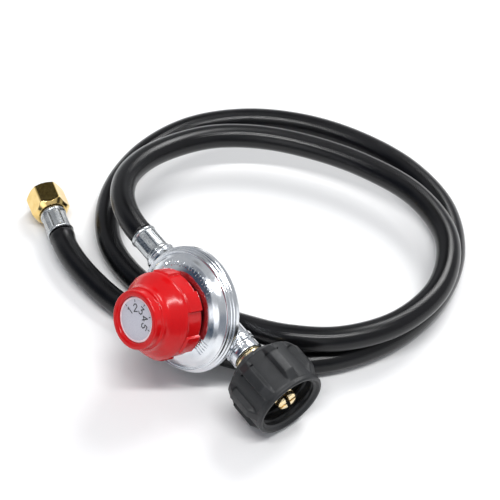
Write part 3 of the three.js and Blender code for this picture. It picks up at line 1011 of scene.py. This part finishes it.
def lobed(radius, angle, z):
    """Flat-topped ribs along the nut, sloping at the sides and both ends."""
    if radius < 12 or not 43.3 < z < 71.9:
        return radius
    share = TURN / NUT_LOBES
    offset = angle % share - share / 2
    across = abs(math.sin(offset)) * radius
    lobe = 1 - smoothstep(LOBE_TOP, LOBE_FOOT, across)
    top = max(radius, between(z, LOBE_OUTLINE))
    return radius + (top - radius) * lobe


def make_coupling_nut():
    """Hand nut: cone at the back, ribs, a smooth mouth ring and a coarse thread."""
    bm = bmesh.new()
    outside = [
        (7, 42.3), (11.6, 42.3), (13.4, 43.4), (20.2, 48.2), (20.2, 71.8), (20, 72.4),
        (20, 74.2), (19.4, 75), (18.3, 75), (17.2, 73.6), (NUT_BORE, 73),
    ]
    inside = [(NUT_BORE, 52.6), (11.2, 52.6), (11.2, 47.1), (7, 47.1)]

    def surface(radius, angle, z):
        if radius < 16 and 53.4 < z < 72.5:
            turn = thread_place(angle, z, NUT_THREAD_PITCH)
            groove = smoothstep(0.2, 0.32, turn) * smoothstep(1, 0.88, turn)
            return radius + NUT_THREAD_DEPTH * groove
        return lobed(radius, angle, z)

    turned(bm, outside + inside, sides=384, closed=True, soften=0.35, longest=0.5,
           shape=surface)
    obj = finished("hand_nut", bm, INLET, crease=38)
    fit_out(obj, BLACK, "coupling_nut", "coupling")


def make_inlet_nipple():
    """Screwed into the inlet boss; its collar shows behind the hand nut."""
    bm = bmesh.new()
    turned(bm, [
        (2.8, 25), (4.6, 25), (4.6, 39.1), (7.5, 39.1), (8, 39.6), (8, 41.4),
        (7.6, 41.9), (6.6, 41.9), (6.6, 49.6), (10.4, 49.6), (10.4, 51.4), (9.6, 52),
        (5.6, 53), (5.2, 60.5), (3.4, 60.5), (3.4, 53), (2.8, 52),
    ], closed=True, soften=0.25)
    obj = finished("inlet_spigot", bm, INLET)
    fit_out(obj, PALE_BRASS, "inlet_nipple", "regulator")


def make_probe():
    """Four brass fingers with two grooves round them."""
    bm = bmesh.new()
    turned(bm, [
        (1.5, 60.8), (5.9, 60.8), (5.9, 64.2), (5, 64.7), (5, 66), (5.9, 66.5),
        (5.9, 68.6), (5.1, 69.1), (5.1, 69.8), (5.8, 70.3), (5.6, 71.6), (4.8, 72.4),
        (1.5, 72.4),
    ], closed=True, soften=0.3)
    obj = finished("probe_fingers", bm, INLET)
    for turn in (TURN / 8, -TURN / 8):
        slot = bmesh.new()
        brick(slot, (0, 0, 70), (14, 2.1, 9), turn)
        cut_out(obj, slot)
    round_edges(obj, 0.16, limit=40)
    fit_out(obj, PALE_BRASS, "probe_tip", "regulator")


# ---- Studio -------------------------------------------------------------------------


def make_floor():
    bm = bmesh.new()
    bmesh.ops.create_grid(bm, x_segments=8, y_segments=8, size=3)
    floor = finished("floor", bm, Matrix.Translation((-0.05, 0.07, 0)))
    paper = Finish("paper", (0.86, 0.86, 0.86), 0.7)
    paper.vary("Roughness", paper.noise(40), 0.65, 0.8)
    paper.set("Specular IOR Level", 0.2)
    floor.data.materials.append(paper.done())


def direction(azimuth, elevation):
    """A unit vector; azimuth is round from +X."""
    a = math.radians(azimuth)
    e = math.radians(elevation)
    return (math.cos(a) * math.cos(e), math.sin(a) * math.cos(e), math.sin(e))


# Soft patches of the surroundings, in degrees: azimuth, elevation, how far from their
# middle they are whole and how far they reach; then the colour.
ROOM = [
    (-112, 40, 16, 36, (0.04, 0.06, 0.1)),
    (-58, 28, 9, 20, (1.8, 1.8, 1.85)),
    (-66, 2, 12, 24, (0.05, 0.08, 0.12)),
    (-20, 12, 10, 30, (0.3, 0.32, 0.36)),
    (150, 46, 8, 17, (0.03, 0.03, 0.02)),
]
ROOM_LIGHT = (0.5, 0.51, 0.53)


def make_room():
    """A pale room with a bright patch and a few dark ones for the metal to show."""
    world = bpy.data.worlds.new("room")
    world.use_nodes = True
    bpy.context.scene.world = world
    tree = world.node_tree
    way = tree.nodes.new("ShaderNodeTexCoord").outputs["Generated"]
    colour = None
    for azimuth, elevation, inner, outer, shade in ROOM:
        dot = tree.nodes.new("ShaderNodeVectorMath")
        dot.operation = "DOT_PRODUCT"
        tree.links.new(way, dot.inputs[0])
        dot.inputs[1].default_value = direction(azimuth, elevation)
        edge = tree.nodes.new("ShaderNodeMapRange")
        edge.interpolation_type = "SMOOTHSTEP"
        edge.inputs["From Min"].default_value = math.cos(math.radians(outer))
        edge.inputs["From Max"].default_value = math.cos(math.radians(inner))
        tree.links.new(dot.outputs["Value"], edge.inputs["Value"])
        mix = tree.nodes.new("ShaderNodeMix")
        mix.data_type = "RGBA"
        tree.links.new(edge.outputs[0], mix.inputs["Factor"])
        if colour is None:
            mix.inputs["A"].default_value = (*ROOM_LIGHT, 1)
        else:
            tree.links.new(colour, mix.inputs["A"])
        mix.inputs["B"].default_value = (*shade, 1)
        colour = mix.outputs["Result"]
    background = tree.nodes["Background"]
    tree.links.new(colour, background.inputs["Color"])
    background.inputs["Strength"].default_value = 1


def add_softbox(name, azimuth, elevation, distance, width, height, watts):
    """A rectangular light aimed at the middle of the object."""
    lamp = bpy.data.lights.new(name, "AREA")
    lamp.shape = "RECTANGLE"
    lamp.size = width
    lamp.size_y = height
    lamp.energy = watts
    way = Vector(direction(azimuth, elevation))
    obj = bpy.data.objects.new(name, lamp)
    obj.location = CAMERA_TARGET + way * distance
    obj.rotation_euler = way.to_track_quat("Z", "Y").to_euler()
    bpy.context.scene.collection.objects.link(obj)


def light_the_scene():
    make_room()
    add_softbox("behind", 105, 50, 1.5, 0.6, 0.6, 13)
    add_softbox("strip", -37, 74, 1.5, 1.2, 0.1, 15)
    scene = bpy.context.scene
    scene.view_settings.view_transform = "Standard"
    scene.view_settings.look = "None"


# ---- Build --------------------------------------------------------------------------

hose, hose_path, hose_length = make_hose()
flare_pieces = [make_flare_ferrule(), make_flare_stem(), make_flare_nut()]
make_outlet_ferrule()
make_lower_body()
make_bonnet()
make_cast_marks()
make_knob()
make_label()
make_label_print()
make_coupling_nut()
make_inlet_nipple()
make_probe()
repaint_kept_pieces()
make_floor()
light_the_scene()
